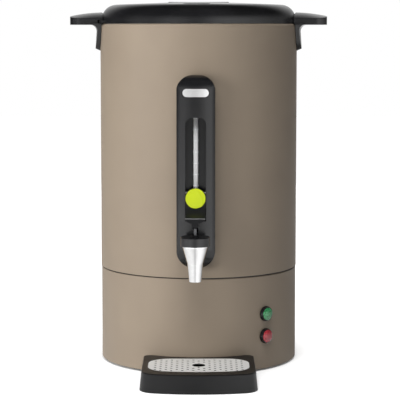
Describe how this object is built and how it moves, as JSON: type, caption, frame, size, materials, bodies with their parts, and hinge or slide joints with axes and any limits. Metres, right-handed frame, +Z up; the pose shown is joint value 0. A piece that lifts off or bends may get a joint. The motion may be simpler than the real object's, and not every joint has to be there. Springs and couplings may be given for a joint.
{
  "type": "coffee urn",
  "caption": "Tall round coffee urn with a sight-tube tap column, twist-lock lid, side handles, pilot lamps, a percolator insert and a loose drip tray.",
  "frame": {"origin": "on the vertical axis of the tank and base, at the height of the worktop", "axes": "+Z up along the tank's axis, the tap faces -Y, +X to the right as seen from the front"},
  "size_m": [0.3532, 0.3874, 0.4945],
  "materials": {
    "coated_steel": "matt taupe coat",
    "bare_steel": "brushed stainless",
    "zinc_steel": "zinc plated",
    "black_plastic": "fine satin grain",
    "black_gloss": "polished",
    "grey_plastic": "plain moulded",
    "disc_plastic": "smooth yellow-green",
    "chrome_plate": "polished chrome",
    "silicone": "smooth pale",
    "foot_rubber": "fine matt",
    "tube_glass": "clear",
    "green_lens": "tinted moulded",
    "red_lens": "tinted moulded",
    "wire_cover": "heat-proof sleeve",
    "copper": "bare copper"
  },
  "bodies": {
    "urn": {"tank": "coated_steel", "base_shell": "coated_steel", "bottom_plate": "zinc_steel", "feet": "foot_rubber", "tie_studs": "zinc_steel", "tie_nuts": "zinc_steel", "handle_left": "black_plastic", "handle_right": "black_plastic", "handle_screws": "bare_steel", "tap_column": "black_plastic", "badge_plate": "bare_steel", "sight_tube": "tube_glass", "tube_seals": "silicone", "column_screw": "bare_steel", "lever_pin": "bare_steel", "stem_spring": "bare_steel", "tap_bonnet": "black_plastic", "tap_body": "chrome_plate", "shank_nut": "bare_steel", "gasket_inner": "silicone", "gasket_outer": "silicone", "green_lamp": "black_gloss", "red_lamp": "black_gloss", "green_lens": "green_lens", "red_lens": "red_lens", "lamp_nuts": "zinc_steel", "boil_element": "bare_steel", "warm_element": "bare_steel", "thermostat": "bare_steel", "reset_cutout": "grey_plastic", "capillary": "copper", "terminal_block": "grey_plastic", "power_inlet": "black_gloss", "inlet_pins": "zinc_steel", "inlet_screws": "zinc_steel", "switch_frame": "black_gloss", "wiring": "wire_cover"},
    "lid_ring": {"lid_seal": "silicone"},
    "lid_cover": {"lid": "black_plastic", "lid_liner": "bare_steel", "lid_screws": "zinc_steel"},
    "spreader": {"basket_spreader": "bare_steel"},
    "basket": {"filter_basket": "bare_steel"},
    "riser": {"riser_tube": "bare_steel", "pump_foot": "bare_steel"},
    "lever": {"tap_lever": "black_plastic", "lever_disc": "disc_plastic"},
    "valve": {"valve_stem": "bare_steel", "seat_cup": "silicone"},
    "tray": {"drip_tray": "black_plastic"},
    "tray_plate": {"drip_plate": "bare_steel"},
    "button": {"reset_button": "black_gloss"},
    "rocker": {"switch_rocker": "black_plastic"}
  },
  "joints": [
    {"name": "lid_lift", "type": "slide", "parent": "urn", "child": "lid_ring", "axis": [0, 0, 1], "range_m": [0, 0.5]},
    {"name": "lid_turn", "type": "hinge", "parent": "lid_ring", "child": "lid_cover", "pos_m": [0, 0, 0.465], "axis": [0, 0, -1], "range_deg": [0, 19]},
    {"name": "spreader_lift", "type": "slide", "parent": "urn", "child": "spreader", "axis": [0, 0, 1], "range_m": [0, 0.461]},
    {"name": "basket_lift", "type": "slide", "parent": "urn", "child": "basket", "axis": [0, 0, 1], "range_m": [0, 0.421]},
    {"name": "riser_lift", "type": "slide", "parent": "urn", "child": "riser", "axis": [0, 0, 1], "range_m": [0, 0.346]},
    {"name": "lever_pull", "type": "hinge", "parent": "urn", "child": "lever", "pos_m": [0, -0.1602, 0.246], "axis": [-1, 0, 0], "range_deg": [0, 15], "stiffness_Nm_per_rad": 0.5, "springref_deg": -5.73},
    {"name": "valve_lift", "type": "slide", "parent": "urn", "child": "valve", "axis": [0, 0, 1], "range_m": [0, 0.0055], "deforming": ["stem_spring"]},
    {"name": "tray_slide", "type": "slide", "parent": "urn", "child": "tray", "axis": [0.0244, -0.9997, 0], "range_m": [0, 0.12]},
    {"name": "plate_lift", "type": "slide", "parent": "tray", "child": "tray_plate", "axis": [0, 0, 1], "range_m": [0, 0.06]},
    {"name": "reset_press", "type": "slide", "parent": "urn", "child": "button", "axis": [0, 0, 1], "range_m": [0, 0.0015], "stiffness_N_per_m": 300, "springref_m": -0.001},
    {"name": "rocker_tilt", "type": "hinge", "parent": "urn", "child": "rocker", "pos_m": [0.05074, 0.12559, 0.062], "axis": [0.9272, -0.3746, 0], "range_deg": [0, 22]}
  ],
  "couplings": [
    {"joint": "spreader_lift", "follows": "lid_lift", "ratio": 0.92},
    {"joint": "basket_lift", "follows": "lid_lift", "ratio": 0.84},
    {"joint": "riser_lift", "follows": "lid_lift", "ratio": 0.69},
    {"joint": "lever_pull", "follows": "valve_lift", "rad_per_m": 47.59}
  ]
}
